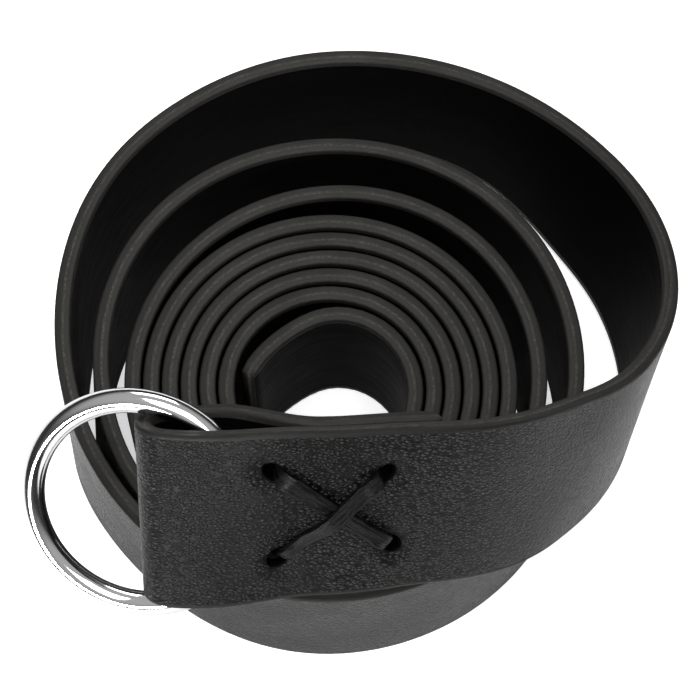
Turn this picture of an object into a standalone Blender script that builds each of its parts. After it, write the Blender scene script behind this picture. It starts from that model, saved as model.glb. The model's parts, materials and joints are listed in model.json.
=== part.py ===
"""A leather ring belt, rolled up and standing on its edge.

The strap is one rectangular section swept along one path. The path starts at the inner free end,
winds outwards clockwise (seen from above) through tight and then loose turns, rises over the front
of the roll, turns back round the ring in a fold and ends in a short flap. Four punched holes go
through both layers, and one flat lace crosses through them.

Lengths in the tables and constants are millimetres; MM turns them into metres.
The roll's own frame has its origin on the ground under the middle of the roll, +X to the right,
+Y to the back and +Z up; the raised end lies across the front. An empty at its origin then moves
everything, so that the whole object stands centred on the world's origin.
"""

import math

import bpy
import numpy as np
from mathutils import Matrix, Vector

MM = 0.001

# The strap's section
STRAP_WIDTH = 30.0
STRAP_THICKNESS = 2.8
HALF_WIDTH = STRAP_WIDTH / 2
HALF_THICKNESS = STRAP_THICKNESS / 2
GAP = 0.3

# The winding: a spiral of this pitch about a centre that drifts to the back as the roll grows
START_AZIMUTH = 168.0
FIRST_RADIUS = 14.0
PITCH = 3.25
CENTRE_X = -0.6
CENTRE_Y = -0.6
CENTRE_DRIFT = 0.3
STATIONS_PER_TURN = 72

# How far the turns stand off the tight spiral: turns from the inner end, slack
TURNS, SLACK, LIFT, LEAN = 0, 1, 2, 3
INNER_END = [
    (0.00, -0.3),
    (0.08, -1.6),
    (0.15, -1.6),
    (0.22, -0.6),
    (0.28, -0.1),
    (0.32, 0.0),
    (0.36, 0.0),
]
# The loose outer turns and the raised end: turns, slack, lift of the lower edge, lean of the top
# outwards in degrees
LOOSE_TURNS = [
    (5.84, 0.0, 0.0, 0),
    (5.90, 0.0, 0.0, 0),
    (5.96, 0.0, 0.0, 0),
    (6.08, 0.5, 0.0, 0),
    (6.17, 1.7, 0.0, 0),
    (6.25, 2.8, 0.0, 0),
    (6.35, 3.1, 0.0, 0),
    (6.45, 2.1, 0.0, 0),
    (6.60, 0.8, 0.0, 0),
    (6.74, 0.1, 0.0, 0),
    (6.85, 0.6, 0.0, -0.8),
    (6.90, 1.7, 0.0, -3),
    (6.96, 3.2, 0.0, -5),
    (7.04, 5.3, 0.0, -2.5),
    (7.12, 7.7, 0.0, -1.5),
    (7.18, 8.5, 0.0, -1),
    (7.25, 8.7, 0.0, 0),
    (7.32, 8.3, 0.0, 0),
    (7.42, 6.2, 0.0, 0),
    (7.55, 3.1, 0.0, 0),
    (7.65, 0.9, 0.0, 0),
    (7.75, 0.2, 0.0, 0),
    (7.85, 0.8, 0.0, 0),
    (7.90, 2.3, 0.0, -1.5),
    (7.95, 4.6, 0.0, -2.5),
    (8.00, 6.9, 0.0, 0.7),
    (8.05, 10.9, 0.0, 2.5),
    (8.10, 15.6, 0.0, 3),
    (8.15, 19.7, 0.0, 1),
    (8.20, 22.7, 0.0, 0.5),
    (8.25, 23.9, 0.0, 1.5),
    (8.30, 23.6, 0.0, 6),
    (8.35, 22.0, 0.0, 14.5),
    (8.38, 21.5, 0.0, 15.5),
    (8.41, 20.0, 0.0, 13),
    (8.44, 17.1, 0.9, 7),
    (8.47, 12.8, 4.8, -1),
    (8.50, 8.0, 11.0, -9),
    (8.53, 3.4, 18.4, -17),
    (8.56, -0.2, 25.2, -23),
    (8.60, -4.2, 31.5, -29),
    (8.65, -8.1, 35.8, -34),
    (8.70, -9.3, 37.9, -37),
    (8.75, -8.0, 39.0, -39),
    (8.80, -2.7, 39.1, -44),
    (8.815, -0.6, 39.0, -45),
]

# The fold round the ring and the flap behind the front layer
CLOSED_DEPTH = STRAP_THICKNESS + GAP
FOLD_RADIUS = 4.3
FOLD_STEPS = 12
FOLD_REACH = FOLD_RADIUS + HALF_THICKNESS
FLAP_STEP = 1.5
FLAP_END = 48.0
# The fold's line is turned in the strap's plane by this angle, fading out at this distance from it
FOLD_SKEW = 3.0
SKEW_END = 26.0
# Distance from the fold's outermost line, distance between the two layers' middles
POCKET = [
    (FOLD_REACH, 2 * FOLD_RADIUS),
    (12.0, 10.0),
    (19.5, 8.2),
    (24.0, 5.0),
    (28.0, 3.3),
    (32.0, CLOSED_DEPTH),
    (FLAP_END, CLOSED_DEPTH),
]

# The ring: its middle's distance from the fold and height above the strap's middle, and its depth
# behind the front layer
RING_RADIUS = 17.8
RING_WIRE = 4.0
RING_MIDDLE = (-0.4, -0.2)
RING_SEGMENTS = 72
RING_WIRE_SEGMENTS = 16
RING_DEPTH = 6.1
RING_TILT = 5.6

# The four punched holes: distance from the fold, height above the strap's middle
HOLE_RADIUS = 2.0
HOLE_SIDES = 24
NEAR_TOP = (21.6, 8.0)
NEAR_BOTTOM = (22.4, -7.2)
FAR_TOP = (40.7, 6.9)
FAR_BOTTOM = (41.2, -6.1)

# The lace: its section on the strap and inside the holes, and the plain knot on the back
LACE_WIDTH = 2.9
LACE_WIDTH_IN_HOLE = 2.6
LACE_THICKNESS = 1.4
LACE_CORNER = 0.35
LACE_REST = GAP + LACE_THICKNESS / 2
LACE_SAMPLES = 4
LACE_OVERLAP = 3
LACE_SHARP_ANGLE = 40.0
# The lace's way out of a hole: distance from the hole's middle, height of its middle over the face
LACE_START = [
    (0.0, -HALF_THICKNESS),
    (0.4, 0.2),
    (1.5, LACE_REST),
    (3.2, LACE_REST),
]
SLOPE_STEP = 0.5
KNOT_WIDTH = 4.6
KNOT_THICKNESS = 3.2
KNOT_REST = GAP + KNOT_THICKNESS / 2

# Colours, roughness and metallic values
LEATHER = ((0.012, 0.012, 0.013), 0.48, 0.0)
LACE_LEATHER = ((0.014, 0.013, 0.013), 0.50, 0.0)
POLISHED_STEEL = ((0.78, 0.78, 0.80), 0.08, 1.0)


def unit(vectors):
    """Vectors scaled to length one, along the last axis."""
    return vectors / np.linalg.norm(vectors, axis=-1, keepdims=True)


def spline(knots, values, at):
    """Natural cubic spline through (knots, values), read at the numbers in at."""
    knots = np.asarray(knots, float)
    values = np.asarray(values, float)
    steps = np.diff(knots)
    slopes = np.diff(values) / steps
    system = np.eye(len(knots))
    right = np.zeros(len(knots))
    for i in range(1, len(knots) - 1):
        system[i, i - 1:i + 2] = (steps[i - 1], 2 * (steps[i - 1] + steps[i]), steps[i])
        right[i] = 6 * (slopes[i] - slopes[i - 1])
    bend = np.linalg.solve(system, right)
    i = np.clip(np.searchsorted(knots, at) - 1, 0, len(steps) - 1)
    before = (knots[i + 1] - at) / steps[i]
    after = (at - knots[i]) / steps[i]
    curve = (before**3 - before) * bend[i] + (after**3 - after) * bend[i + 1]
    return before * values[i] + after * values[i + 1] + curve * steps[i]**2 / 6


def columns(rows):
    """A table's rows turned into one list for each column."""
    return list(zip(*rows))


def lengths(path):
    """Distance along a path at each of its points."""
    return np.concatenate([[0], np.cumsum(np.linalg.norm(np.diff(path, axis=0), axis=1))])


def frames(centres, widths):
    """Unit tangents, width directions and face normals along a path, each square to the others."""
    tangents = unit(np.gradient(centres, lengths(centres), axis=0))
    normals = unit(np.cross(widths, tangents))
    return tangents, unit(np.cross(tangents, normals)), normals


def front_layer():
    """Centres, tangents, width directions and normals of the strap from its inner end to the fold.

    The azimuth is START_AZIMUTH - 360 turns; the radius is FIRST_RADIUS + PITCH turns + slack about
    the drifting centre. The width direction is the upright one square to the path, turned by the
    lean, and the lowest corner of the section stands at the lift.
    """
    inner = columns(INNER_END)
    loose = columns(LOOSE_TURNS)
    last = LOOSE_TURNS[-1][TURNS]
    turns = np.linspace(0, last, round(last * STATIONS_PER_TURN) + 1)
    slack, lift, lean = np.zeros((3, len(turns)))
    at_start = turns < inner[TURNS][-1]
    slack[at_start] = spline(inner[TURNS], inner[SLACK], turns[at_start])
    loosened = turns > loose[TURNS][0]
    for column, made in ((SLACK, slack), (LIFT, lift), (LEAN, lean)):
        made[loosened] = spline(loose[TURNS], loose[column], turns[loosened])
    lift = np.maximum(lift, 0)
    lean = np.radians(lean)[:, None]

    azimuth = np.radians(START_AZIMUTH - 360 * turns)
    radius = FIRST_RADIUS + PITCH * turns + slack
    x = CENTRE_X + radius * np.cos(azimuth)
    y = CENTRE_Y + CENTRE_DRIFT * turns + radius * np.sin(azimuth)
    centres = np.stack([x, y, lift], axis=1)
    up = np.array([0.0, 0.0, 1.0])
    for _ in range(3):
        tangents = frames(centres, np.broadcast_to(up, centres.shape))[0]
        upright = unit(up - tangents * tangents[:, 2:])
        outward = np.cross(upright, tangents)
        widths = upright * np.cos(lean) + outward * np.sin(lean)
        normals = np.cross(widths, tangents)
        reach = HALF_WIDTH * widths[:, 2] + HALF_THICKNESS * np.abs(normals[:, 2])
        centres[:, 2] = lift + reach
    return centres, tangents, widths, normals


def along(front, distance):
    """Centre and directions of the front layer at a distance from the fold's outermost line.

    Nearer than FOLD_REACH the layer's last straight direction goes on.
    """
    centres, tangents, widths, normals = front
    back = FOLD_REACH + lengths(centres[::-1])
    place = [np.interp(distance, back, part[::-1, axis]) for part in front for axis in range(3)]
    centre, tangent, width, normal = np.array(place).reshape(4, 3)
    beyond = max(FOLD_REACH - distance, 0)
    return centre + tangents[-1] * beyond, unit(tangent), unit(width), unit(normal)


def layer_depth(distance):
    """How far behind the front layer's middle the flap's middle lies, at a distance from the fold."""
    return max(spline(*columns(POCKET), distance), CLOSED_DEPTH)


def strap_path(front):
    """Stations of the whole strap: the front layer, the half turn round the ring and the flap.

    Returns their centres, the directions across the strap, turned by the fold's skew, and normals.
    """
    centres, tangents, widths, normals = front
    angles = np.linspace(0, math.pi, FOLD_STEPS + 1)[1:, None]
    turn = tangents[-1] * np.sin(angles) - normals[-1] * (1 - np.cos(angles))
    fold = centres[-1] + FOLD_RADIUS * turn
    fold_widths = np.broadcast_to(widths[-1], fold.shape)
    count = math.ceil((FLAP_END - FOLD_REACH) / FLAP_STEP)
    flap = []
    flap_widths = []
    distances = np.linspace(FOLD_REACH, FLAP_END, count + 1)[1:]
    for distance in distances:
        centre, _, width, normal = along(front, distance)
        flap.append(centre - normal * layer_depth(distance))
        flap_widths.append(width)
    path = np.concatenate([centres, fold, flap])
    _, across, normals = frames(path, np.concatenate([widths, fold_widths, flap_widths]))

    front_distances = FOLD_REACH + lengths(centres[::-1])[::-1]
    distances = np.concatenate([front_distances, np.full(FOLD_STEPS, FOLD_REACH), distances])
    share = np.clip((SKEW_END - distances) / (SKEW_END - FOLD_REACH), 0, 1)
    share = share**2 * (3 - 2 * share) * math.tan(math.radians(FOLD_SKEW))
    return path, across + tangents[-1] * share[:, None], normals


def sweep(name, sections, closed, parent):
    """An object skinned over sections, an array (stations, corners, 3) in millimetres."""
    stations, corners = sections.shape[:2]
    faces = []
    for i in range(stations if closed else stations - 1):
        for j in range(corners):
            here = i * corners
            there = (i + 1) % stations * corners
            side = (j + 1) % corners
            faces.append((here + j, here + side, there + side, there + j))
    if not closed:
        last = (stations - 1) * corners
        faces.append(tuple(reversed(range(corners))))
        faces.append(tuple(range(last, last + corners)))
    mesh = bpy.data.meshes.new(name)
    mesh.from_pydata((sections.reshape(-1, 3) * MM).tolist(), [], faces)
    mesh.update()
    piece = bpy.data.objects.new(name, mesh)
    bpy.context.scene.collection.objects.link(piece)
    piece.parent = parent
    return piece


def paint(piece, name, finish):
    """Give a piece its own Principled material."""
    colour, roughness, metallic = finish
    material = bpy.data.materials.new(name)
    material.use_nodes = True
    shader = material.node_tree.nodes["Principled BSDF"]
    shader.inputs["Base Color"].default_value = (*colour, 1)
    shader.inputs["Roughness"].default_value = roughness
    shader.inputs["Metallic"].default_value = metallic
    piece.data.materials.append(material)


def make_strap(front, parent):
    """The strap: a rectangle swept along the whole path, with the four holes cut through."""
    path, widths, normals = strap_path(front)
    across = HALF_WIDTH * widths
    through = HALF_THICKNESS * normals
    lower = [path - across - through, path - across + through]
    upper = [path + across + through, path + across - through]
    strap = sweep("strap", np.stack(lower + upper, axis=1), False, parent)
    paint(strap, "black leather", LEATHER)
    for number, (distance, height) in enumerate((NEAR_TOP, NEAR_BOTTOM, FAR_TOP, FAR_BOTTOM)):
        punch = make_punch(front, distance, height, number, parent)
        cut = strap.modifiers.new(punch.name, "BOOLEAN")
        cut.operation = "DIFFERENCE"
        cut.solver = "EXACT"
        cut.object = punch
    return strap


def make_punch(front, distance, height, number, parent):
    """A round cutter through both layers at one hole."""
    centre, tangent, width, normal = along(front, distance)
    depth = layer_depth(distance)
    reach = 2 * STRAP_THICKNESS
    angles = np.linspace(0, 2 * math.pi, HOLE_SIDES, endpoint=False)[:, None]
    circle = HOLE_RADIUS * (width * np.sin(angles) - tangent * np.cos(angles))
    middle = centre + width * height
    ends = [middle - normal * (depth + reach) + circle, middle + normal * reach + circle]
    punch = sweep(f"punch_{number + 1}", np.array(ends), False, parent)
    punch.hide_render = True
    punch.display_type = "WIRE"
    return punch


def make_ring(front, parent):
    """The round ring, held by its right half between the front layer and the flap."""
    distance, height = RING_MIDDLE
    centre, tangent, width, normal = along(front, distance)
    tilt = math.radians(RING_TILT)
    inward = -tangent * math.cos(tilt) + normal * math.sin(tilt)
    axis = np.cross(inward, width)
    place = centre + width * height - normal * RING_DEPTH
    bpy.ops.mesh.primitive_torus_add(
        major_radius=RING_RADIUS * MM,
        minor_radius=RING_WIRE / 2 * MM,
        major_segments=RING_SEGMENTS,
        minor_segments=RING_WIRE_SEGMENTS,
    )
    ring = bpy.context.object
    ring.name = "ring"
    ring.data.name = "ring"
    ring.data.shade_smooth()
    turn = Matrix([Vector(inward), Vector(width), Vector(axis)]).transposed()
    ring.matrix_local = Matrix.Translation(Vector(place) * MM) @ turn.to_4x4()
    ring.parent = parent
    paint(ring, "polished steel", POLISHED_STEEL)
    return ring


def lace_route(front):
    """The lace's control points: place, width direction, width and thickness, round one loop.

    Each leg goes from one hole to the next on one face of the strap. Its points are the hole's
    middle inside the near layer, a point at the hole's mouth, and the leg's own points.
    """
    crossing = LACE_THICKNESS + GAP
    legs = [
        (False, NEAR_BOTTOM, FAR_TOP, crossing, False),
        (True, FAR_TOP, NEAR_TOP, 0, False),
        (False, NEAR_TOP, FAR_BOTTOM, 0, False),
        (True, FAR_BOTTOM, NEAR_BOTTOM, 0, True),
    ]
    places = []
    widths = []
    sizes = []
    for on_back, start, end, rise, knotted in legs:
        start = np.array(start)
        end = np.array(end)
        way = unit(end - start)
        side = np.array([-way[1], way[0]]) if way[0] < 0 else np.array([way[1], -way[0]])
        reach = np.linalg.norm(end - start)
        middle_rest = KNOT_REST if knotted else LACE_REST + rise
        ending = [(reach - step, rest) for step, rest in reversed(LACE_START)]
        for step, rest in [*LACE_START, (reach / 2, middle_rest), *ending]:
            distance, height = start + way * step
            centre, tangent, width, normal = along(front, distance)
            off_middle = HALF_THICKNESS + rest
            if on_back:
                depths = layer_depth(distance + SLOPE_STEP), layer_depth(distance - SLOPE_STEP)
                slope = (depths[0] - depths[1]) / (2 * SLOPE_STEP)
                off_middle = -layer_depth(distance) - off_middle * math.hypot(1, slope)
            places.append(centre + width * height + normal * off_middle)
            widths.append(-tangent * side[0] + width * side[1])
            in_hole = rest < LACE_REST / 2
            in_knot = knotted and rest == KNOT_REST
            sizes.append((
                KNOT_WIDTH if in_knot else LACE_WIDTH_IN_HOLE if in_hole else LACE_WIDTH,
                KNOT_THICKNESS if in_knot else LACE_THICKNESS,
            ))
    return np.array(places), np.array(widths), np.array(sizes)


def make_lace(front, parent):
    """The flat lace as one closed loop: two crossing legs in front, two legs behind, one knot."""
    places, widths, sizes = lace_route(front)
    table = np.concatenate([places, widths, sizes], axis=1)
    table = np.concatenate([table[-LACE_OVERLAP:], table, table[:LACE_OVERLAP + 1]])
    length = lengths(table[:, :3])
    inner = length[LACE_OVERLAP:LACE_OVERLAP + len(places) + 1]
    knots = np.arange(len(inner))
    fine = np.arange(0, len(places), 1 / LACE_SAMPLES)
    at = np.interp(fine, knots, inner)
    curve = np.stack([spline(length, column, at) for column in table.T], axis=1)
    centres = curve[:, :3]
    loop = np.concatenate([centres[-1:], centres, centres[:1]])
    tangents = unit(loop[2:] - loop[:-2])
    normals = unit(np.cross(tangents, curve[:, 3:6]))
    sides = unit(np.cross(normals, tangents))
    half_width = curve[:, 6:7] / 2
    half_thick = curve[:, 7:8] / 2
    corner = LACE_CORNER
    outline = [
        (-1, 0, -1, 1), (-1, 1, -1, 0), (1, -1, -1, 0), (1, 0, -1, 1),
        (1, 0, 1, -1), (1, -1, 1, 0), (-1, 1, 1, 0), (-1, 0, 1, -1),
    ]
    sections = [
        centres + sides * (a * half_width + b * corner) + normals * (c * half_thick + d * corner)
        for a, b, c, d in outline
    ]
    lace = sweep("lace", np.stack(sections, axis=1), True, parent)
    lace.data.shade_smooth()
    lace.data.set_sharp_from_angle(angle=math.radians(LACE_SHARP_ANGLE))
    paint(lace, "black lace leather", LACE_LEATHER)
    return lace


def centre_on_origin(pieces, holder):
    """Move the holder so that the pieces' box stands centred on the world's origin."""
    bpy.context.view_layer.update()
    corners = [piece.matrix_world @ vertex.co for piece in pieces for vertex in piece.data.vertices]
    lowest = [min(corner[axis] for corner in corners) for axis in range(3)]
    highest = [max(corner[axis] for corner in corners) for axis in range(3)]
    holder.location = (-(lowest[0] + highest[0]) / 2, -(lowest[1] + highest[1]) / 2, -lowest[2])
    bpy.context.view_layer.update()


def main():
    for old in list(bpy.data.objects):
        bpy.data.objects.remove(old)
    holder = bpy.data.objects.new("roll_middle", None)
    bpy.context.scene.collection.objects.link(holder)
    front = front_layer()
    pieces = [make_strap(front, holder), make_ring(front, holder), make_lace(front, holder)]
    centre_on_origin(pieces, holder)


main()
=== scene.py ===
"""The looks of a rolled leather ring belt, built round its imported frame.

Lengths in the tables and in the shape functions are millimetres, and MM turns them into metres.
The roll's own frame has its origin on the ground under the middle of the roll, +X to the right,
+Y to the back and +Z up. roll_origin() gives its place in the frame's coordinates.
"""

import json
import math

import bpy
import numpy as np
from bpy.props import FloatProperty, FloatVectorProperty, IntProperty, PointerProperty
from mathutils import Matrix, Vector


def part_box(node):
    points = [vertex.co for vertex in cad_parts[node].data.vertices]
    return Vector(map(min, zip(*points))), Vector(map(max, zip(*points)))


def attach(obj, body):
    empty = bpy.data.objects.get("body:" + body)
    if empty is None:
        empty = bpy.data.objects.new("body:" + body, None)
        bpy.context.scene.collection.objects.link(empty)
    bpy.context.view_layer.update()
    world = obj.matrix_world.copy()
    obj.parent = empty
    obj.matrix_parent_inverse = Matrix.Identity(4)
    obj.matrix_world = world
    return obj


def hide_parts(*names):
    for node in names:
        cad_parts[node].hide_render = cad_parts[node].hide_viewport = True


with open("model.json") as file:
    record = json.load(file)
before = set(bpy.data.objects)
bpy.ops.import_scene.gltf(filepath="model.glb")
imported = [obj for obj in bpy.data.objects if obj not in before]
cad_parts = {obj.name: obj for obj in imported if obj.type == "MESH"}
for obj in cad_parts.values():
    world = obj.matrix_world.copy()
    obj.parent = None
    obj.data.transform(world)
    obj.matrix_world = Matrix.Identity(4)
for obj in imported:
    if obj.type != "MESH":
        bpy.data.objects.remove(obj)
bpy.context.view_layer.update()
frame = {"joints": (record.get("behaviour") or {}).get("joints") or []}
STRAP_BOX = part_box("strap")
RING_JOINT = next(joint for joint in frame["joints"] if joint["name"] == "ring_spin")

bl_info = {
    "name": "Rolled ring belt",
    "version": (1, 0, 0),
    "blender": (4, 5, 0),
    "location": "View3D > Sidebar > Belt",
    "description": "Builds a rolled leather belt with a ring, its lace and its studio",
    "category": "Object",
}

MM = 0.001

# The strap's section
STRAP_WIDTH = 30.0
STRAP_THICKNESS = 2.8
HALF_WIDTH = STRAP_WIDTH / 2
HALF_THICKNESS = STRAP_THICKNESS / 2
GAP = 0.3

# The winding: a spiral of this pitch about a centre that drifts to the back as the roll grows
START_AZIMUTH = 168.0
FIRST_RADIUS = 14.0
PITCH = 3.25
CENTRE_X = -0.6
CENTRE_Y = -0.6
CENTRE_DRIFT = 0.3

# How far the turns stand off the tight spiral: turns from the inner end, slack
TURNS, SLACK, LIFT, LEAN = 0, 1, 2, 3
INNER_END = [
    (0.00, -0.3),
    (0.08, -1.6),
    (0.15, -1.6),
    (0.22, -0.6),
    (0.28, -0.1),
    (0.32, 0.0),
    (0.36, 0.0),
]
# The loose outer turns and the raised end: turns, slack, lift of the lower edge, lean of the top
# outwards in degrees
LOOSE_TURNS = [
    (5.84, 0.0, 0.0, 0),
    (5.90, 0.0, 0.0, 0),
    (5.96, 0.0, 0.0, 0),
    (6.08, 0.5, 0.0, 0),
    (6.17, 1.7, 0.0, 0),
    (6.25, 2.8, 0.0, 0),
    (6.35, 3.1, 0.0, 0),
    (6.45, 2.1, 0.0, 0),
    (6.60, 0.8, 0.0, 0),
    (6.74, 0.1, 0.0, 0),
    (6.85, 0.6, 0.0, -0.8),
    (6.90, 1.7, 0.0, -3),
    (6.96, 3.2, 0.0, -5),
    (7.04, 5.3, 0.0, -2.5),
    (7.12, 7.7, 0.0, -1.5),
    (7.18, 8.5, 0.0, -1),
    (7.25, 8.7, 0.0, 0),
    (7.32, 8.3, 0.0, 0),
    (7.42, 6.2, 0.0, 0),
    (7.55, 3.1, 0.0, 0),
    (7.65, 0.9, 0.0, 0),
    (7.75, 0.2, 0.0, 0),
    (7.85, 0.8, 0.0, 0),
    (7.90, 2.3, 0.0, -1.5),
    (7.95, 4.6, 0.0, -2.5),
    (8.00, 6.9, 0.0, 0.7),
    (8.05, 10.9, 0.0, 2.5),
    (8.10, 15.6, 0.0, 3),
    (8.15, 19.7, 0.0, 1),
    (8.20, 22.7, 0.0, 0.5),
    (8.25, 23.9, 0.0, 1.5),
    (8.30, 23.6, 0.0, 6),
    (8.35, 22.0, 0.0, 14.5),
    (8.38, 21.5, 0.0, 15.5),
    (8.41, 20.0, 0.0, 13),
    (8.44, 17.1, 0.9, 7),
    (8.47, 12.8, 4.8, -1),
    (8.50, 8.0, 11.0, -9),
    (8.53, 3.4, 18.4, -17),
    (8.56, -0.2, 25.2, -23),
    (8.60, -4.2, 31.5, -29),
    (8.65, -8.1, 35.8, -34),
    (8.70, -9.3, 37.9, -37),
    (8.75, -8.0, 39.0, -39),
    (8.80, -2.7, 39.1, -44),
    (8.815, -0.6, 39.0, -45),
]

# The fold round the ring and the flap behind the front layer
CLOSED_DEPTH = STRAP_THICKNESS + GAP
FOLD_RADIUS = 4.3
FOLD_REACH = FOLD_RADIUS + HALF_THICKNESS
FLAP_END = 48.0
# The fold's line is turned in the strap's plane by this angle, fading out at this distance from it
FOLD_SKEW = 3.0
SKEW_END = 26.0
# Distance from the fold's outermost line, distance between the two layers' middles
POCKET = [
    (FOLD_REACH, 2 * FOLD_RADIUS),
    (12.0, 10.0),
    (19.5, 8.2),
    (24.0, 5.0),
    (28.0, 3.3),
    (32.0, CLOSED_DEPTH),
    (FLAP_END, CLOSED_DEPTH),
]

# The ring
RING_RADIUS = 17.8
RING_WIRE = 4.0

# The four punched holes: distance from the fold, height above the strap's middle
NEAR_TOP = (23.0, 8.0)
NEAR_BOTTOM = (22.4, -7.2)
FAR_TOP = (39.3, 6.9)
FAR_BOTTOM = (41.2, -6.1)

# Each hole with the hole that the lace on the front goes to from it
HOLE_PAIRS = (
    (NEAR_TOP, FAR_BOTTOM),
    (FAR_BOTTOM, NEAR_TOP),
    (NEAR_BOTTOM, FAR_TOP),
    (FAR_TOP, NEAR_BOTTOM),
)
HOLE_LENGTH = 4.2
HOLE_WIDTH = 3.0
HOLE_SIDES = 40
# How far the holes are drawn out behind the lace
HOLE_PULL = 0.1
# How far the punches reach out of the flap's back and of the front face
PUNCH_BEHIND = 6
PUNCH_BEFORE = 5

# The dents round the holes: a pressed ring, the swell outside it, the hollow under the leaving lace
DENT_FLATTEN = 0.85
DENT_DEPTH, DENT_EDGE, DENT_FADE = 0.42, 1.7, 1.1
SWELL_HEIGHT, SWELL_RADIUS, SWELL_FADE = 0.16, 4.0, 1.3
HOLLOW_DEPTH, HOLLOW_ASIDE, HOLLOW_MIDDLE, HOLLOW_FADE = 0.10, 1.9, 4.5, 3.0
# Nothing farther than this from the fold is dented
DENTS_UNTIL = 60

# The cut edge: its rounded corners, and its groove and swell at the bonded layers
RIM_CORNER = 0.38
RIM_STEPS = 15
GROOVE_DEPTH = 0.13
GROOVE_SPREAD = 0.14
RIM_SWELL = 0.06
# Heights of the skin's points above the strap's middle: sparse, crowded round the holes, then sparse
SKIN_MIDDLE = [1.2, 2.4]
SKIN_CROWDED = (3.6, 11.2, 13)
SKIN_EDGE = [12.2, 13.2, 13.9, 14.3]
LINING_REACH, LINING_STEPS = 13.8, 9
# The softened edges of the strap's two ends: share lost, reach along the strap
END_SOFTNESS = 0.15
END_REACH = 0.35

# The lace on the strap and inside the holes, and its plain knot on the back
LACE_WIDTH = 2.9
LACE_WIDTH_IN_HOLE = 2.6
LACE_THICKNESS = 1.2
LACE_REST = GAP + LACE_THICKNESS / 2
KNOT_WIDTH = 4.6
KNOT_THICKNESS = 3.2
KNOT_REST = GAP + KNOT_THICKNESS / 2
SLOPE_STEP = 0.5
LACE_OVERLAP = 3
LACE_ANGLES = 64
# The section's corners are squarer the smaller this power is
LACE_POWER = 0.4
# The lace's waviness, and its sharp lengthwise ridge: place, steepness, share of the crease's height
WAVE_SHARE = 0.06
RIDGE_ASIDE, RIDGE_STEEPNESS, RIDGE_SHARE = 0.25, 2.6, 0.55
# The lace's way out of a hole: distance from the hole's middle, height of its middle over the face
LACE_START = [
    (0.8, -HALF_THICKNESS),
    (1.1, 0.1),
    (2.1, LACE_REST),
    (3.6, LACE_REST),
]

# The two legs on the front, row by row: roll in degrees, share of the lace's width, crease's height
OVER_LEG = [
    (0, 0.80, 0.0),
    (-6, 0.76, 0.1),
    (-14, 0.74, 0.3),
    (-16, 0.78, 0.42),
    (-6, 0.95, 0.34),
    (6, 1.05, 0.10),
    (8, 1.05, 0.0),
    (0, 1.0, 0.0),
    (0, 1.0, 0.0),
]
UNDER_LEG = [
    (0, 1.0, 0.0),
    (0, 1.06, 0.1),
    (4, 1.1, 0.22),
    (2, 1.06, 0.3),
    (-4, 1.0, 0.3),
    (-2, 1.04, 0.34),
    (0, 1.06, 0.3),
    (0, 1.0, 0.1),
    (0, 0.95, 0.0),
]

# Between these turns the stations close up
END_FROM, END_UNTIL = 8.2, 8.5
# Points along the path from which the stations are spaced
SPACING_SAMPLES = 4000
# The stations' spacing in the roll for the lace and the stage, which only read the path
COARSE_SPACING = 2.0
# Rounds in which the path's height and the section's lean settle
HEIGHT_ROUNDS = 3

# How soon the section's lower corner takes over from the other as the strap leans through upright
SMOOTH_ZERO = 0.1
# Stations over which the path's height is evened out
SMOOTH_SPAN = 23

# The places on the strap's surface that its finishes follow
PLACE = "strap_place"
LACE_PLACE = "lace_place"
SKIN, RIM, LINING = 0, 1, 2

# The camera in the roll's frame, in millimetres, its view and its lens
CAMERA_PLACE = (3.62, -156.24, 387.38)
CAMERA_ELEVATION = 65.5
CAMERA_FOCAL = 2262.0
PHOTO_WIDTH = 700
SENSOR = 36.0

# The lights: name, place and size in metres, the setting that holds the power in watts
LIGHTS = (
    ("overhead", (0.0, -0.25, 1.3), (0.8, 0.8), "key_power"),
    ("front left", (-0.40, -0.88, 0.36), (0.2, 0.2), "side_power"),
    ("back", (0.0, 0.95, 0.85), (0.7, 0.4), "back_power"),
)
LIGHT_TARGET = (0, 0, 0.02)


def unit(vectors):
    """Vectors scaled to length one, along the last axis."""
    return vectors / np.linalg.norm(vectors, axis=-1, keepdims=True)


def spline(knots, values, at):
    """Natural cubic spline through (knots, values), read at the numbers in at."""
    knots = np.asarray(knots, float)
    values = np.asarray(values, float)
    steps = np.diff(knots)
    slopes = np.diff(values) / steps
    system = np.eye(len(knots))
    right = np.zeros(len(knots))
    for i in range(1, len(knots) - 1):
        system[i, i - 1:i + 2] = (steps[i - 1], 2 * (steps[i - 1] + steps[i]), steps[i])
        right[i] = 6 * (slopes[i] - slopes[i - 1])
    bend = np.linalg.solve(system, right)
    i = np.clip(np.searchsorted(knots, at) - 1, 0, len(steps) - 1)
    before = (knots[i + 1] - at) / steps[i]
    after = (at - knots[i]) / steps[i]
    curve = (before**3 - before) * bend[i] + (after**3 - after) * bend[i + 1]
    return before * values[i] + after * values[i + 1] + curve * steps[i]**2 / 6


def columns(rows):
    """A table's rows turned into one list for each column."""
    return list(zip(*rows))


def lengths(path):
    """Distance along a path at each of its points."""
    return np.concatenate([[0], np.cumsum(np.linalg.norm(np.diff(path, axis=0), axis=1))])


def frames(centres, widths):
    """Unit tangents, width directions and face normals along a path, each square to the others."""
    tangents = unit(np.gradient(centres, lengths(centres), axis=0))
    normals = unit(np.cross(widths, tangents))
    return tangents, unit(np.cross(tangents, normals)), normals


def smoothed(values):
    """Each value averaged with its neighbours under a raised cosine; even slopes stay as they are."""
    weights = np.hanning(SMOOTH_SPAN + 2)
    longer = np.pad(values, SMOOTH_SPAN // 2 + 1, mode="reflect", reflect_type="odd")
    return np.convolve(longer, weights / weights.sum(), mode="valid")


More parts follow.
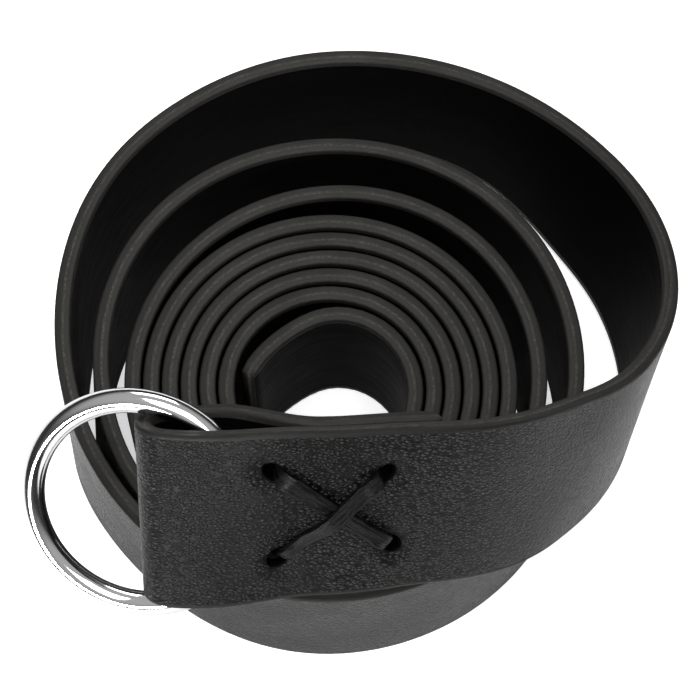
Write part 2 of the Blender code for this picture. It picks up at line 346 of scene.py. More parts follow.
def front_layer(turns):
    """Centres, tangents, width directions and normals of the strap from its inner end to the fold.

    The azimuth is START_AZIMUTH - 360 turns; the radius is FIRST_RADIUS + PITCH turns + slack about
    the drifting centre. The width direction is the upright one square to the path, turned by the
    lean, and the lowest corner of the section stands at the lift.
    """
    inner = columns(INNER_END)
    loose = columns(LOOSE_TURNS)
    slack, lift, lean = np.zeros((3, len(turns)))
    at_start = turns < inner[TURNS][-1]
    slack[at_start] = spline(inner[TURNS], inner[SLACK], turns[at_start])
    loosened = turns > loose[TURNS][0]
    for column, made in ((SLACK, slack), (LIFT, lift), (LEAN, lean)):
        made[loosened] = spline(loose[TURNS], loose[column], turns[loosened])
    lift = np.maximum(lift, 0)
    lean = np.radians(lean)[:, None]

    azimuth = np.radians(START_AZIMUTH - 360 * turns)
    radius = FIRST_RADIUS + PITCH * turns + slack
    x = CENTRE_X + radius * np.cos(azimuth)
    y = CENTRE_Y + CENTRE_DRIFT * turns + radius * np.sin(azimuth)
    centres = np.stack([x, y, lift], axis=1)
    up = np.array([0.0, 0.0, 1.0])
    for _ in range(HEIGHT_ROUNDS):
        tangents = frames(centres, np.broadcast_to(up, centres.shape))[0]
        upright = unit(up - tangents * tangents[:, 2:])
        outward = np.cross(upright, tangents)
        widths = upright * np.cos(lean) + outward * np.sin(lean)
        normals = np.cross(widths, tangents)
        tipped = normals[:, 2]**2 / np.sqrt(normals[:, 2]**2 + SMOOTH_ZERO**2)
        centres[:, 2] = lift + smoothed(HALF_WIDTH * widths[:, 2] + HALF_THICKNESS * tipped)
    return centres, tangents, widths, normals


def spaced_turns(roll_spacing, end_spacing):
    """Turn numbers whose stations stand at even distances, closer together towards the raised end."""
    even = np.linspace(0, LOOSE_TURNS[-1][TURNS], SPACING_SAMPLES)
    along_path = lengths(front_layer(even)[0])
    share = np.clip((even - END_FROM) / (END_UNTIL - END_FROM), 0, 1)
    spacing = roll_spacing + (end_spacing - roll_spacing) * share
    station = np.concatenate([[0], np.cumsum(np.diff(along_path) / spacing[1:])])
    count = math.ceil(station[-1])
    return np.interp(np.linspace(0, station[-1], count + 1), station, even)


def along(front, distance):
    """Centre and directions of the front layer at distances from the fold's outermost line.

    Nearer than FOLD_REACH the layer's last straight direction goes on.
    """
    distance = np.asarray(distance, float)
    back = FOLD_REACH + lengths(front[0][::-1])
    read = [
        np.stack([np.interp(distance, back, part[::-1, axis]) for axis in range(3)], axis=-1)
        for part in front
    ]
    beyond = np.maximum(FOLD_REACH - distance, 0)[..., None]
    centre = read[0] + front[1][-1] * beyond
    return centre, unit(read[1]), unit(read[2]), unit(read[3])


def layer_depth(distance):
    """How far behind the front layer's middle the flap's middle lies, at a distance from the fold."""
    return np.maximum(spline(*columns(POCKET), distance), CLOSED_DEPTH)


def strap_path(front, spacing):
    """Stations of the whole strap: the front layer, the half turn round the ring and the flap.

    Returns their centres, the directions across the strap, turned by the fold's skew, and normals.
    """
    centres, tangents, widths, normals = front
    steps = math.ceil(math.pi * FOLD_RADIUS / spacing)
    angles = np.linspace(0, math.pi, steps + 1)[1:, None]
    turn = tangents[-1] * np.sin(angles) - normals[-1] * (1 - np.cos(angles))
    fold = centres[-1] + FOLD_RADIUS * turn
    fold_widths = np.broadcast_to(widths[-1], fold.shape)
    count = math.ceil((FLAP_END - FOLD_REACH) / spacing)
    flap_distances = np.linspace(FOLD_REACH, FLAP_END, count + 1)[1:]
    centre, _, flap_widths, normal = along(front, flap_distances)
    flap = centre - normal * layer_depth(flap_distances)[:, None]
    path = np.concatenate([centres, fold, flap])
    _, across, normals = frames(path, np.concatenate([widths, fold_widths, flap_widths]))

    front_distances = FOLD_REACH + lengths(centres[::-1])[::-1]
    distances = np.concatenate([front_distances, np.full(steps, FOLD_REACH), flap_distances])
    share = np.clip((SKEW_END - distances) / (SKEW_END - FOLD_REACH), 0, 1)
    share = share**2 * (3 - 2 * share) * math.tan(math.radians(FOLD_SKEW))
    return path, across + tangents[-1] * share[:, None], normals


def roll_origin(path, widths, normals):
    """The roll's origin in the frame: the swept rectangle's box is laid over the CAD strap's."""
    corners = [
        path + HALF_WIDTH * side * widths + HALF_THICKNESS * face * normals
        for side in (-1, 1) for face in (-1, 1)
    ]
    corners = np.concatenate(corners)
    own = (corners.min(axis=0) + corners.max(axis=0)) / 2
    cad = (np.array(STRAP_BOX[0]) + np.array(STRAP_BOX[1])) / 2 / MM
    return np.array([cad[0] - own[0], cad[1] - own[1], 0.0])


def section_outline():
    """The strap's section as (depth, across, finish) once round, from the lower inner corner.

    Each rim is an arc at both corners and a shallow groove where the two bonded layers meet; the
    skin and the lining are straight, with points crowded round the two rows of holes.
    """
    depths = HALF_THICKNESS * np.sin(np.linspace(-math.pi / 2, math.pi / 2, RIM_STEPS))
    past = np.clip(np.abs(depths) - (HALF_THICKNESS - RIM_CORNER), 0, RIM_CORNER)
    rounding = RIM_CORNER - np.sqrt(RIM_CORNER**2 - past**2)
    groove = GROOVE_DEPTH * np.exp(-(depths / GROOVE_SPREAD)**2)
    swell = RIM_SWELL * (1 - (2 * np.abs(depths) / HALF_THICKNESS - 1)**2)
    reach = HALF_WIDTH - RIM_SWELL - rounding - groove + swell
    half = np.concatenate([SKIN_MIDDLE, np.linspace(*SKIN_CROWDED), SKIN_EDGE])
    skin = np.concatenate([-half[::-1], half])
    lining = np.linspace(LINING_REACH, -LINING_REACH, LINING_STEPS)
    depth = np.concatenate([depths, np.full(len(skin), HALF_THICKNESS), depths[::-1]])
    depth = np.concatenate([depth, np.full(len(lining), -HALF_THICKNESS)])
    across = np.concatenate([-reach, skin, reach[::-1], lining])
    finish = np.concatenate([
        np.full(len(depths), RIM), np.full(len(skin), SKIN),
        np.full(len(depths), RIM), np.full(len(lining), LINING),
    ])
    return depth, across, finish


def hole_dents(distance, across):
    """How far the pull of the lace draws the front layer in, at places given from the fold.

    A ring-shaped dent round each hole, and a shallow hollow along the leg that leaves it.
    """
    dent = np.zeros(np.broadcast(distance, across).shape)
    for hole, partner in HOLE_PAIRS:
        way = unit(np.subtract(partner, hole))
        x = distance - hole[0]
        y = across - hole[1]
        forward = x * way[0] + y * way[1]
        aside = -x * way[1] + y * way[0]
        from_hole = np.hypot(forward * DENT_FLATTEN, aside)
        dent -= DENT_DEPTH * np.exp(-(np.clip(from_hole - DENT_EDGE, 0, None) / DENT_FADE)**2)
        dent += SWELL_HEIGHT * np.exp(-((from_hole - SWELL_RADIUS) / SWELL_FADE)**2)
        leg = (aside / HOLLOW_ASIDE)**2 + ((forward - HOLLOW_MIDDLE) / HOLLOW_FADE)**2
        dent -= HOLLOW_DEPTH * np.exp(-leg)
    return dent


def grid_faces(rows, ring, closed):
    """Quads of a grid of rows by ring corners, wrapped round the ring, and round the rows if closed."""
    last = rows if closed else rows - 1
    row, corner = np.meshgrid(np.arange(last), np.arange(ring), indexing="ij")
    row_next = (row + 1) % rows
    corner_next = (corner + 1) % ring
    quads = [
        row * ring + corner, row * ring + corner_next,
        row_next * ring + corner_next, row_next * ring + corner,
    ]
    return np.stack(quads, axis=-1).reshape(-1, 4)


def new_piece(name, points, faces, origin):
    """A mesh object from points in millimetres in the roll's frame, moved by origin, smooth shaded."""
    mesh = bpy.data.meshes.new(name)
    mesh.from_pydata(((points.reshape(-1, 3) + origin) * MM).tolist(), [], faces)
    mesh.update()
    mesh.shade_smooth()
    piece = bpy.data.objects.new(name, mesh)
    bpy.context.scene.collection.objects.link(piece)
    return piece


def mark_places(piece, name, places):
    """Store a vector for each vertex, in metres, for the finish to read."""
    layer = piece.data.attributes.new(name, "FLOAT_VECTOR", "POINT")
    layer.data.foreach_set("vector", (places.reshape(-1, 3) * MM).astype(np.float32).ravel())


def strap_surface(roll_spacing, end_spacing):
    """The strap's skin on a grid of stations by section points.

    point = centre + across width + (depth + dent) normal, where the dents count on the front layer
    and fade out along the roll. Returns the points, their places (along, across, depth), the
    finish of each section column, the front layer and the roll's origin.
    """
    front = front_layer(spaced_turns(roll_spacing, end_spacing))
    path, widths, normals = strap_path(front, end_spacing)
    depth, across, finish = section_outline()
    run = lengths(path)
    front_end = run[len(front[0]) - 1]
    from_fold = FOLD_REACH + front_end - run
    dent = hole_dents(from_fold[:, None], across[None, :])
    dent *= (from_fold[:, None] > FOLD_REACH) & (from_fold[:, None] < DENTS_UNTIL)
    # Ends of the strap are cut square with softened edges
    ease = np.minimum(run, run[-1] - run)[:, None]
    soften = END_SOFTNESS * np.exp(-(ease / END_REACH)**2)
    shrink = 1 - soften * np.abs(depth)[None, :] / HALF_THICKNESS
    points = path[:, None] + widths[:, None] * across[None, :, None]
    points = points + normals[:, None] * (depth[None, :] * shrink + dent)[..., None]
    places = np.stack(np.broadcast_arrays(run[:, None], across[None, :], depth[None, :]), axis=-1)
    return points, places, finish, front, roll_origin(path, widths, normals)


def hole_cutter(front, origin, bench):
    """One mesh of four oval punches through both layers, each drawn out along its lace."""
    points = []
    faces = []
    for number, (hole, partner) in enumerate(HOLE_PAIRS):
        centre, tangent, width, normal = along(front, hole[0])
        way = unit(np.subtract(partner, hole))
        forward = -tangent * way[0] + width * way[1]
        aside = np.cross(normal, forward)
        angles = np.linspace(0, 2 * math.pi, HOLE_SIDES, endpoint=False)[:, None]
        oval = HOLE_LENGTH / 2 * np.cos(angles) * forward + HOLE_WIDTH / 2 * np.sin(angles) * aside
        middle = centre + width * hole[1] - forward * HOLE_PULL
        bottom = middle - normal * (layer_depth(hole[0]) + PUNCH_BEHIND) + oval
        top = middle + normal * PUNCH_BEFORE + oval
        points += [bottom, top]
        first = number * 2 * HOLE_SIDES
        faces += (grid_faces(2, HOLE_SIDES, False) + first).tolist()
        around = np.arange(HOLE_SIDES)
        faces += [tuple(first + around[::-1]), tuple(first + HOLE_SIDES + around)]
    cutter = new_piece("hole_cutter", np.concatenate(points), faces, origin)
    for material in bench:
        cutter.data.materials.append(material)
    polygons = cutter.data.polygons
    # The punched walls take the nearly black lining finish in place of the cut edge's: painted shade
    # that keeps the holes dark
    polygons.foreach_set("material_index", np.full(len(polygons), LINING, np.int32))
    return cutter


def flip_if_inside_out(piece):
    """Turn all faces round when the mesh encloses a negative volume."""
    mesh = piece.data
    points = np.empty(len(mesh.vertices) * 3, np.float32)
    mesh.vertices.foreach_get("co", points)
    mesh.calc_loop_triangles()
    corners = np.empty(len(mesh.loop_triangles) * 3, np.int32)
    mesh.loop_triangles.foreach_get("vertices", corners)
    a, b, c = points.reshape(-1, 3)[corners].reshape(-1, 3, 3).transpose(1, 0, 2).astype(float)
    if np.einsum("ij,ij->", a, np.cross(b, c)) < 0:
        mesh.flip_normals()


def cut_holes(piece, cutter):
    """Cut the holes through a piece and keep the result as its mesh."""
    cut = piece.modifiers.new("holes", "BOOLEAN")
    cut.operation = "DIFFERENCE"
    cut.solver = "MANIFOLD"
    cut.object = cutter
    depsgraph = bpy.context.evaluated_depsgraph_get()
    holed = bpy.data.meshes.new_from_object(piece.evaluated_get(depsgraph))
    piece.modifiers.remove(cut)
    piece.data = holed
    holed.name = piece.name
    bpy.data.objects.remove(cutter)


def lace_table(front):
    """The lace's control rows round one closed loop: place, width direction, width, thickness, crease.

    Each leg goes from one hole to the next on one face of the strap. Its rows are the hole's middle
    inside the near layer, the hole's mouth, and the leg's own points.
    """
    crossing = LACE_THICKNESS + GAP
    plain = [(0, 1, 0)] * (2 * len(LACE_START) + 1)
    legs = [
        (False, NEAR_BOTTOM, FAR_TOP, crossing, False, OVER_LEG),
        (True, FAR_TOP, NEAR_TOP, 0, False, plain),
        (False, NEAR_TOP, FAR_BOTTOM, 0, False, UNDER_LEG),
        (True, FAR_BOTTOM, NEAR_BOTTOM, 0, True, plain),
    ]
    rows = []
    for on_back, start, end, rise, knotted, shape in legs:
        start = np.array(start)
        end = np.array(end)
        way = unit(end - start)
        side = np.array([-way[1], way[0]]) if way[0] < 0 else np.array([way[1], -way[0]])
        reach = np.linalg.norm(end - start)
        middle_rest = KNOT_REST if knotted else LACE_REST + rise
        ending = [(reach - step, rest) for step, rest in reversed(LACE_START)]
        for number, (step, rest) in enumerate([*LACE_START, (reach / 2, middle_rest), *ending]):
            distance, height = start + way * step
            centre, tangent, width, normal = along(front, distance)
            off_middle = HALF_THICKNESS + rest
            if on_back:
                rise_ahead = layer_depth(distance + SLOPE_STEP) - layer_depth(distance - SLOPE_STEP)
                off_middle *= math.hypot(1, rise_ahead / (2 * SLOPE_STEP))
                off_middle = -layer_depth(distance) - off_middle
            in_hole = rest < LACE_REST / 2
            in_knot = knotted and rest == KNOT_REST
            roll, share, crease = shape[number]
            roll = math.radians(roll)
            across = -tangent * side[0] + width * side[1]
            rows.append([
                *(centre + width * height + normal * off_middle),
                *(across * math.cos(roll) + normal * math.sin(roll)),
                share * (KNOT_WIDTH if in_knot else LACE_WIDTH_IN_HOLE if in_hole else LACE_WIDTH),
                KNOT_THICKNESS if in_knot else LACE_THICKNESS,
                crease,
            ])
    return np.array(rows)


def lace_surface(front, samples):
    """The lace as a flat rounded section carried round its closed loop.

    The section is a superellipse, half width cos and half thickness sin of the angle to the power
    LACE_POWER, with a sharp lengthwise ridge on its faces where the lace is creased.
    """
    rows = lace_table(front)
    table = np.concatenate([rows[-LACE_OVERLAP:], rows, rows[:LACE_OVERLAP + 1]])
    length = lengths(table[:, :3])
    inner = length[LACE_OVERLAP:LACE_OVERLAP + len(rows) + 1]
    at = np.interp(np.arange(0, len(rows), 1 / samples), np.arange(len(inner)), inner)
    curve = np.stack([spline(length, column, at) for column in table.T], axis=1)
    centres = curve[:, :3]
    loop = np.concatenate([centres[-1:], centres, centres[:1]])
    tangents = unit(loop[2:] - loop[:-2])
    normals = unit(np.cross(tangents, curve[:, 3:6]))
    sides = unit(np.cross(normals, tangents))
    angles = np.linspace(0, 2 * math.pi, LACE_ANGLES, endpoint=False)
    a = np.sign(np.cos(angles)) * np.abs(np.cos(angles))**LACE_POWER
    b = np.sign(np.sin(angles)) * np.abs(np.sin(angles))**LACE_POWER
    run = lengths(centres)
    half_width = curve[:, 6:7] / 2
    half_thick = curve[:, 7:8] / 2
    wave = WAVE_SHARE * np.sin(run[:, None] * 2.1 + 3 * a[None, :]) * np.sin(run[:, None] * 0.9)
    peak = np.clip(1 - np.abs(a + RIDGE_ASIDE) * RIDGE_STEEPNESS, 0, 1)[None, :]
    ridge = np.clip(curve[:, 8:9], 0, None) * peak
    thick = half_thick * b[None, :] * (1 + wave)
    points = centres[:, None] + sides[:, None] * (half_width * a[None, :] * (1 + wave))[..., None]
    points = points + normals[:, None] * (thick + ridge * np.sign(b[None, :]) * RIDGE_SHARE)[..., None]
    places = np.stack(np.broadcast_arrays(run[:, None], half_width * a, thick), axis=-1)
    return points, places


def node(tree, kind, inputs=None, **settings):
    """A new node with its settings, and each input linked to a socket or set to a value."""
    made = tree.nodes.new(kind)
    for key, value in settings.items():
        setattr(made, key, value)
    for key, value in (inputs or {}).items():
        socket = made.inputs[key]
        if isinstance(value, bpy.types.NodeSocket):
            tree.links.new(value, socket)
        else:
            socket.default_value = value
    return made


def new_finish(name):
    """A material with its node tree and its Principled shader."""
    material = bpy.data.materials.new(name)
    material.use_nodes = True
    return material, material.node_tree, material.node_tree.nodes["Principled BSDF"]


def blend_of(tree, low, high, share):
    """A colour between low and high, by share."""
    mix = node(tree, "ShaderNodeMix", data_type="RGBA")
    mix.inputs["A"].default_value = (*low, 1)
    mix.inputs["B"].default_value = (*high, 1)
    tree.links.new(share, mix.inputs["Factor"])
    return mix.outputs["Result"]


def ramp(tree, value, low, high, start=0.0, end=1.0):
    """A value carried smoothly from start to end as it goes from low to high."""
    made = node(tree, "ShaderNodeMapRange", {
        "Value": value, "From Min": low, "From Max": high, "To Min": start, "To Max": end,
    }, interpolation_type="SMOOTHSTEP")
    return made.outputs["Result"]


def combine(tree, operation, *values):
    """Values joined by a maths operation."""
    made = node(tree, "ShaderNodeMath", operation=operation)
    for socket, value in zip(made.inputs, values):
        if isinstance(value, bpy.types.NodeSocket):
            tree.links.new(value, socket)
        else:
            socket.default_value = value
    return made.outputs["Value"]


def stretched(tree, place, along_scale, across_scale, depth_scale):
    """A place on the piece, scaled along, across and through it."""
    return node(tree, "ShaderNodeMapping", {
        "Vector": place, "Scale": (along_scale, across_scale, depth_scale),
    }).outputs["Vector"]


def noise(tree, place, scales, detail, output="Fac"):
    """Noise over a place on the piece, finer along, across or through it the larger its scales are."""
    return node(tree, "ShaderNodeTexNoise", {
        "Vector": stretched(tree, place, *scales), "Scale": 1.0, "Detail": detail,
    }).outputs[output]


def place_of(tree, attribute):
    """The place stored for each point of the surface."""
    return node(tree, "ShaderNodeAttribute", attribute_name=attribute).outputs["Vector"]


def emboss(tree, shader, height, strength, depth):
    """Give the shader low relief from a height."""
    bump = node(tree, "ShaderNodeBump", {"Height": height, "Strength": strength, "Distance": depth})
    tree.links.new(bump.outputs["Normal"], shader.inputs["Normal"])


def shaded(colour, share):
    """A colour made darker or lighter by a share."""
    return tuple(part * share for part in colour)


def skin_finish(settings):
    """Pebbled coated leather: small domes with creases between them, over soft cloudy variation; the
    creases carry painted shade and the dome tops a painted highlight.
    """
    material, tree, shader = new_finish("grained black leather")
    place = place_of(tree, PLACE)
    per_metre = 1 / settings.grain_size
    wobble = noise(tree, place, (900, 900, 900), 2.0, "Color")
    moved = node(tree, "ShaderNodeVectorMath", {0: wobble}, operation="SCALE")
    moved.inputs["Scale"].default_value = 0.0005
    bent = node(tree, "ShaderNodeVectorMath", {0: place, 1: moved.outputs["Vector"]}, operation="ADD")
    pebbles = stretched(tree, bent.outputs["Vector"], per_metre * 0.72, per_metre * 1.3, per_metre)
    domes = node(tree, "ShaderNodeTexVoronoi", {"Vector": pebbles, "Scale": 1.0}, feature="F1")
    edges = node(tree, "ShaderNodeTexVoronoi", {"Vector": pebbles, "Scale": 1.0},
                 feature="DISTANCE_TO_EDGE")
    rounded = ramp(tree, domes.outputs["Distance"], 0.75, 0.05)
    creases = ramp(tree, edges.outputs["Distance"], 0.02, 0.22)
    height = combine(tree, "MULTIPLY", rounded, creases)
    fine = noise(tree, place, (5200, 6800, 6000), 3.0)
    cloud = noise(tree, place, (60, 90, 60), 3.0)
    surface = combine(tree, "MULTIPLY_ADD", fine, 0.15, height)
    emboss(tree, shader, surface, 1.0, settings.grain_depth)
    # Painted shade and painted highlight: the colour goes nearly black in the creases and lighter on the
    # dome tops
    colour = blend_of(tree, shaded(settings.skin_colour, 0.05), shaded(settings.skin_colour, 2.2),
                      ramp(tree, height, 0.12, 0.5))
    tree.links.new(colour, shader.inputs["Base Color"])
    rough = ramp(tree, cloud, 0.3, 0.7, settings.skin_roughness - 0.04, settings.skin_roughness + 0.05)
    tree.links.new(rough, shader.inputs["Roughness"])
    shader.inputs["Specular IOR Level"].default_value = 0.19
    return material


def rim_finish(settings):
    """The strap's cut edge: two dark fibrous layers and a pale, broken bonding line between them."""
    material, tree, shader = new_finish("cut leather edge")
    place = place_of(tree, PLACE)
    parts = node(tree, "ShaderNodeSeparateXYZ", {"Vector": place})
    fibres = noise(tree, place, (1300, 2500, 5000), 4.0)
    specks = noise(tree, place, (1900, 900, 2600), 3.0)
    patches = noise(tree, place, (110, 60, 200), 2.0)
    depth = parts.outputs["Z"]
    sway = combine(tree, "MULTIPLY_ADD", patches, 0.0005, depth)
    off_line = combine(tree, "ABSOLUTE", combine(tree, "SUBTRACT", sway, 0.00015))
    broken = ramp(tree, specks, 0.38, 0.70, 0.15, 1.0)
    line = combine(tree, "MULTIPLY", ramp(tree, off_line, 0.00042, 0.00002), broken)
    outer = blend_of(tree, shaded(settings.rim_colour, 0.4), settings.rim_colour, fibres)
    inner = blend_of(tree, shaded(settings.rim_colour, 0.7), shaded(settings.rim_colour, 1.8),
                     fibres)
    inwards = ramp(tree, depth, 0.0006, -0.0004)
    layers = node(tree, "ShaderNodeMix", {"Factor": inwards}, data_type="RGBA")
    tree.links.new(outer, layers.inputs["A"])
    tree.links.new(inner, layers.inputs["B"])
    tinted = node(tree, "ShaderNodeMix", {"Factor": line}, data_type="RGBA")
    tree.links.new(layers.outputs["Result"], tinted.inputs["A"])
    tinted.inputs["B"].default_value = (*settings.bond_colour, 1)
    tree.links.new(tinted.outputs["Result"], shader.inputs["Base Color"])
    shader.inputs["Specular IOR Level"].default_value = 0.2
    rough = ramp(tree, patches, 0.3, 0.7, 0.42, 0.6)
    tree.links.new(rough, shader.inputs["Roughness"])
    emboss(tree, shader, fibres, 0.8, 0.00012)
    return material


def lining_finish(settings):
    """The smooth inner face: nearly black, with faint lengthwise rub marks."""
    material, tree, shader = new_finish("smooth leather lining")
    place = place_of(tree, PLACE)
    rubs = noise(tree, place, (120, 1400, 500), 4.0)
    pores = noise(tree, place, (3000, 3000, 3000), 2.0)
    colour = blend_of(tree, shaded(settings.lining_colour, 0.7), shaded(settings.lining_colour, 1.25),
                      rubs)
    tree.links.new(colour, shader.inputs["Base Color"])
    tree.links.new(ramp(tree, rubs, 0.3, 0.7, 0.38, 0.5), shader.inputs["Roughness"])
    shader.inputs["Specular IOR Level"].default_value = 0.015
    emboss(tree, shader, pores, 0.5, 0.00006)
    return material


def lace_finish(settings):
    """Creased flat lace leather: lengthwise wrinkles and fine pores, with painted shade in the wrinkles'
    valleys.
    """
    material, tree, shader = new_finish("creased lace leather")
    place = place_of(tree, LACE_PLACE)
    creases = noise(tree, place, (260, 2600, 2600), 3.0)
    pores = noise(tree, place, (3800, 4200, 4200), 3.0)
    surface = combine(tree, "MULTIPLY_ADD", pores, 0.35, creases)
    emboss(tree, shader, surface, 1.0, 0.00028)
    # Painted shade: the colour darkens towards the valleys of the lengthwise wrinkles
    colour = blend_of(tree, shaded(settings.colour, 0.1), shaded(settings.colour, 0.7),
                      ramp(tree, creases, 0.35, 0.65))
    tree.links.new(colour, shader.inputs["Base Color"])
    tree.links.new(ramp(tree, creases, 0.3, 0.7, 0.18, 0.36), shader.inputs["Roughness"])
    shader.inputs["Specular IOR Level"].default_value = 0.16
    return material


def ring_finish(settings):
    """Polished plated steel with faint hairlines and soft smudges."""
    material, tree, shader = new_finish("polished plated steel")
    place = node(tree, "ShaderNodeTexCoord").outputs["Object"]
    smudges = noise(tree, place, (160, 160, 160), 3.0)
    hairs = noise(tree, place, (900, 2600, 2600), 3.0)
    shader.inputs["Metallic"].default_value = 1.0
    colour = blend_of(tree, shaded(settings.colour, 0.9), settings.colour, smudges)
    tree.links.new(colour, shader.inputs["Base Color"])
    tree.links.new(ramp(tree, smudges, 0.35, 0.7, settings.roughness, settings.roughness + 0.07),
                   shader.inputs["Roughness"])
    emboss(tree, shader, hairs, 0.25, 0.00002)
    return material


class StrapSettings(bpy.types.PropertyGroup):
    """Sizes and colours of the strap."""

    roll_spacing: FloatProperty(
        name="Roll spacing", description="Distance between the roll's stations",
        default=2.0 * MM, unit="LENGTH")
    end_spacing: FloatProperty(
        name="End spacing", description="Distance between the raised end's stations",
        default=0.7 * MM, unit="LENGTH")
    grain_size: FloatProperty(
        name="Grain size", description="Distance between the grain's pebbles",
        default=0.56 * MM, unit="LENGTH")
    grain_depth: FloatProperty(
        name="Grain depth", description="Height of the grain's pebbles",
        default=0.50 * MM, unit="LENGTH")
    skin_roughness: FloatProperty(
        name="Skin roughness", description="Roughness of the grained face", default=0.30, min=0, max=1)
    skin_colour: FloatVectorProperty(
        name="Skin colour", description="Colour of the grained face",
        default=(0.021, 0.021, 0.0215), subtype="COLOR")
    rim_colour: FloatVectorProperty(
        name="Rim colour", description="Colour of the cut edges",
        default=(0.0175, 0.0168, 0.0152), subtype="COLOR")
    bond_colour: FloatVectorProperty(
        name="Bond colour", description="Colour of the line between the layers",
        default=(0.058, 0.054, 0.048),
        subtype="COLOR")
    lining_colour: FloatVectorProperty(
        name="Lining colour", description="Colour of the smooth inner face",
        default=(0.0018, 0.0018, 0.0019),
        subtype="COLOR")


class RingSettings(bpy.types.PropertyGroup):
    """Finish of the ring."""

    colour: FloatVectorProperty(
        name="Colour", description="Colour of the plating", default=(0.80, 0.80, 0.81), subtype="COLOR")
    roughness: FloatProperty(
        name="Roughness", description="Roughness of the polished plating", default=0.07, min=0, max=1)
    segments: IntProperty(name="Segments", description="Steps round the ring", default=192, min=24)


class LaceSettings(bpy.types.PropertyGroup):
    """Finish of the lace."""

    colour: FloatVectorProperty(
        name="Colour", description="Colour of the lace leather",
        default=(0.0075, 0.0075, 0.0075), subtype="COLOR")
    samples: IntProperty(
        name="Samples", description="Steps between the lace's control rows", default=14, min=3)


class StageSettings(bpy.types.PropertyGroup):
    """The studio."""

    floor_size: FloatProperty(
        name="Floor size", description="Side of the square floor", default=6.0, unit="LENGTH")
    floor_colour: FloatVectorProperty(
        name="Floor colour", description="Colour of the floor",
        default=(0.93, 0.93, 0.93), subtype="COLOR")
    floor_glow: FloatProperty(
        name="Floor glow", description="Glow of the lit backdrop that the camera sees",
        default=0.55, min=0)
    ambient: FloatProperty(
        name="Ambient", description="Strength of the light from overhead", default=0.45, min=0)
    horizon_shade: FloatProperty(
        name="Horizon shade", description="Share of that light that comes from the horizon",
        default=0.08, min=0, max=1)
    key_power: FloatProperty(
        name="Key power", description="Strength of the overhead light in watts", default=11.0, min=0)
    side_power: FloatProperty(
        name="Side power", description="Strength of the light at the front left in watts",
        default=8.0, min=0)
    back_power: FloatProperty(
        name="Back power", description="Strength of the light behind in watts", default=5.0, min=0)


class BELT_OT_strap(bpy.types.Operator):
    """Build the strap: skin, cut rims, lining, fold, flap and holes"""

    bl_idname = "belt.strap"
    bl_label = "Build strap"

    def execute(self, context):
        settings = context.scene.belt_strap
        points, places, finish, front, origin = strap_surface(
            settings.roll_spacing / MM, settings.end_spacing / MM)
        rows, ring = points.shape[:2]
        quads = grid_faces(rows, ring, False)
        last = (rows - 1) * ring
        faces = quads.tolist() + [list(range(ring))[::-1], list(range(last, last + ring))]
        strap = new_piece("strap_leather", points, faces, origin)
        mark_places(strap, PLACE, places)
        bench = [skin_finish(settings), rim_finish(settings), lining_finish(settings)]
        for material in bench:
            strap.data.materials.append(material)
        corner = quads[:, 0] % ring
        after = (corner + 1) % ring
        kind = np.where((finish[corner] != RIM) & (finish[after] != RIM), finish[corner], RIM)
        strap.data.polygons.foreach_set("material_index", np.append(kind, [RIM, RIM]).astype(np.int32))
        flip_if_inside_out(strap)
        cutter = hole_cutter(front, origin, bench)
        flip_if_inside_out(cutter)
        cut_holes(strap, cutter)
        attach(strap, "belt")
        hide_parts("strap")
        return {"FINISHED"}


class BELT_OT_ring(bpy.types.Operator):
    """Build the round ring held in the fold"""

    bl_idname = "belt.ring"
    bl_label = "Build ring"

    def execute(self, context):
        settings = context.scene.belt_ring
        axis = Vector(RING_JOINT["axis"]).normalized()
        centre = np.array(RING_JOINT["pos_m"]) / MM
        across = np.array(axis.orthogonal().normalized())
        other = np.cross(np.array(axis), across)
        turn = np.linspace(0, 2 * math.pi, settings.segments, endpoint=False)[:, None, None]
        wire = np.linspace(0, 2 * math.pi, settings.segments // 4, endpoint=False)[None, :, None]
        # Point = centre + (ring radius + wire radius cos wire) radial(turn) + wire radius sin wire axis
        radial = np.cos(turn) * across + np.sin(turn) * other
        points = centre + (RING_RADIUS + RING_WIRE / 2 * np.cos(wire)) * radial
        points = points + RING_WIRE / 2 * np.sin(wire) * np.array(axis)
        faces = grid_faces(points.shape[0], points.shape[1], True)
        ring = new_piece("ring_steel", points, faces.tolist(), np.zeros(3))
        flip_if_inside_out(ring)
        ring.data.materials.append(ring_finish(settings))
        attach(ring, "ring")
        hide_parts("ring")
        return {"FINISHED"}


class BELT_OT_lace(bpy.types.Operator):
    """Build the flat lace crossed through the holes"""

    bl_idname = "belt.lace"
    bl_label = "Build lace"

    def execute(self, context):
        settings = context.scene.belt_lace
        spacing = context.scene.belt_strap.end_spacing / MM
        front = front_layer(spaced_turns(COARSE_SPACING, spacing))
        points, places = lace_surface(front, settings.samples)
        faces = grid_faces(points.shape[0], points.shape[1], True)
        origin = roll_origin(*strap_path(front, spacing))
        lace = new_piece("lace_leather", points, faces.tolist(), origin)
        mark_places(lace, LACE_PLACE, places)
        flip_if_inside_out(lace)
        lace.data.materials.append(lace_finish(settings))
        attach(lace, "belt")
        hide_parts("lace")
        return {"FINISHED"}


def soft_light(name, place, target, size, power):
    """An area light at a place in metres, turned to a target."""
    data = bpy.data.lights.new(name, "AREA")
    data.shape = "RECTANGLE"
    data.size, data.size_y = size
    data.energy = power
    light = bpy.data.objects.new(name, data)
    light.location = place
    light.rotation_mode = "QUATERNION"
    light.rotation_quaternion = (Vector(target) - Vector(place)).to_track_quat("-Z", "Y")
    bpy.context.scene.collection.objects.link(light)


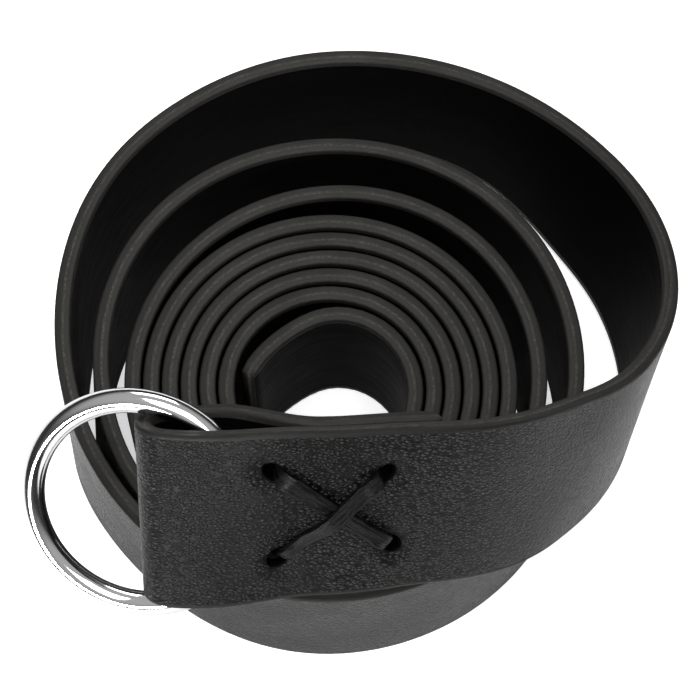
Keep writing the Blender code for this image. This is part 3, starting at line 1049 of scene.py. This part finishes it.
class BELT_OT_stage(bpy.types.Operator):
    """Set the floor, the lights, the surroundings and the camera"""

    bl_idname = "belt.stage"
    bl_label = "Set stage"

    def execute(self, context):
        settings = context.scene.belt_stage
        half = settings.floor_size / 2
        corners = np.array([[-half, -half, 0], [half, -half, 0], [half, half, 0], [-half, half, 0]]) / MM
        floor = new_piece("floor", corners, [(0, 1, 2, 3)], np.zeros(3))
        material, tree, shader = new_finish("pale floor")
        shader.inputs["Base Color"].default_value = (*settings.floor_colour, 1)
        shader.inputs["Roughness"].default_value = 0.9
        shader.inputs["Specular IOR Level"].default_value = 0.1
        # The backdrop's own glow is seen directly, but not in the belt's reflections
        shader.inputs["Emission Color"].default_value = (1, 1, 1, 1)
        seen = node(tree, "ShaderNodeLightPath").outputs["Is Camera Ray"]
        glow = combine(tree, "MULTIPLY", seen, settings.floor_glow)
        tree.links.new(glow, shader.inputs["Emission Strength"])
        floor.data.materials.append(material)

        world = bpy.data.worlds.new("soft surroundings")
        context.scene.world = world
        world.use_nodes = True
        tree = world.node_tree
        background = tree.nodes["Background"]
        # White overhead, falling off to a darker room at the height of the table
        way = node(tree, "ShaderNodeTexCoord").outputs["Generated"]
        height = node(tree, "ShaderNodeSeparateXYZ", {"Vector": way}).outputs["Z"]
        share = ramp(tree, height, 0.75, 0.3)
        shade = blend_of(tree, (1.0, 1.0, 1.0), (settings.horizon_shade,) * 3, share)
        tree.links.new(shade, background.inputs["Color"])
        background.inputs["Strength"].default_value = settings.ambient

        for name, place, size, power in LIGHTS:
            soft_light(name, place, LIGHT_TARGET, size, getattr(settings, power))

        front = front_layer(spaced_turns(COARSE_SPACING, COARSE_SPACING))
        origin = roll_origin(*strap_path(front, COARSE_SPACING))
        data = bpy.data.cameras.new("photo camera")
        data.sensor_width = SENSOR
        data.lens = CAMERA_FOCAL * SENSOR / PHOTO_WIDTH
        data.clip_start = 0.01
        data.clip_end = 20
        camera = bpy.data.objects.new("photo camera", data)
        camera.location = Vector((np.array(CAMERA_PLACE) + origin) * MM)
        camera.rotation_euler = (math.radians(90 - CAMERA_ELEVATION), 0, 0)
        context.scene.collection.objects.link(camera)
        context.scene.camera = camera
        context.scene.view_settings.view_transform = "Standard"
        return {"FINISHED"}


class BELT_PT_panel(bpy.types.Panel):
    """Lists the belt's pieces and their settings"""

    bl_label = "Rolled ring belt"
    bl_idname = "BELT_PT_panel"
    bl_space_type = "VIEW_3D"
    bl_region_type = "UI"
    bl_category = "Belt"

    def draw(self, context):
        for operator, group in PARTS:
            box = self.layout.box()
            box.operator(operator.bl_idname)
            settings = getattr(context.scene, group)
            for name in settings.__annotations__:
                box.prop(settings, name)


PARTS = (
    (BELT_OT_strap, "belt_strap"),
    (BELT_OT_ring, "belt_ring"),
    (BELT_OT_lace, "belt_lace"),
    (BELT_OT_stage, "belt_stage"),
)
GROUPS = (StrapSettings, RingSettings, LaceSettings, StageSettings)
CLASSES = (*GROUPS, *(operator for operator, _ in PARTS), BELT_PT_panel)


def register():
    for each in CLASSES:
        bpy.utils.register_class(each)
    for group, (_, name) in zip(GROUPS, PARTS):
        setattr(bpy.types.Scene, name, PointerProperty(type=group))


def unregister():
    for _, name in PARTS:
        delattr(bpy.types.Scene, name)
    for each in reversed(CLASSES):
        bpy.utils.unregister_class(each)


def main():
    register()
    bpy.ops.belt.strap()
    bpy.ops.belt.ring()
    bpy.ops.belt.lace()
    bpy.ops.belt.stage()


if __name__ == "__main__":
    main()
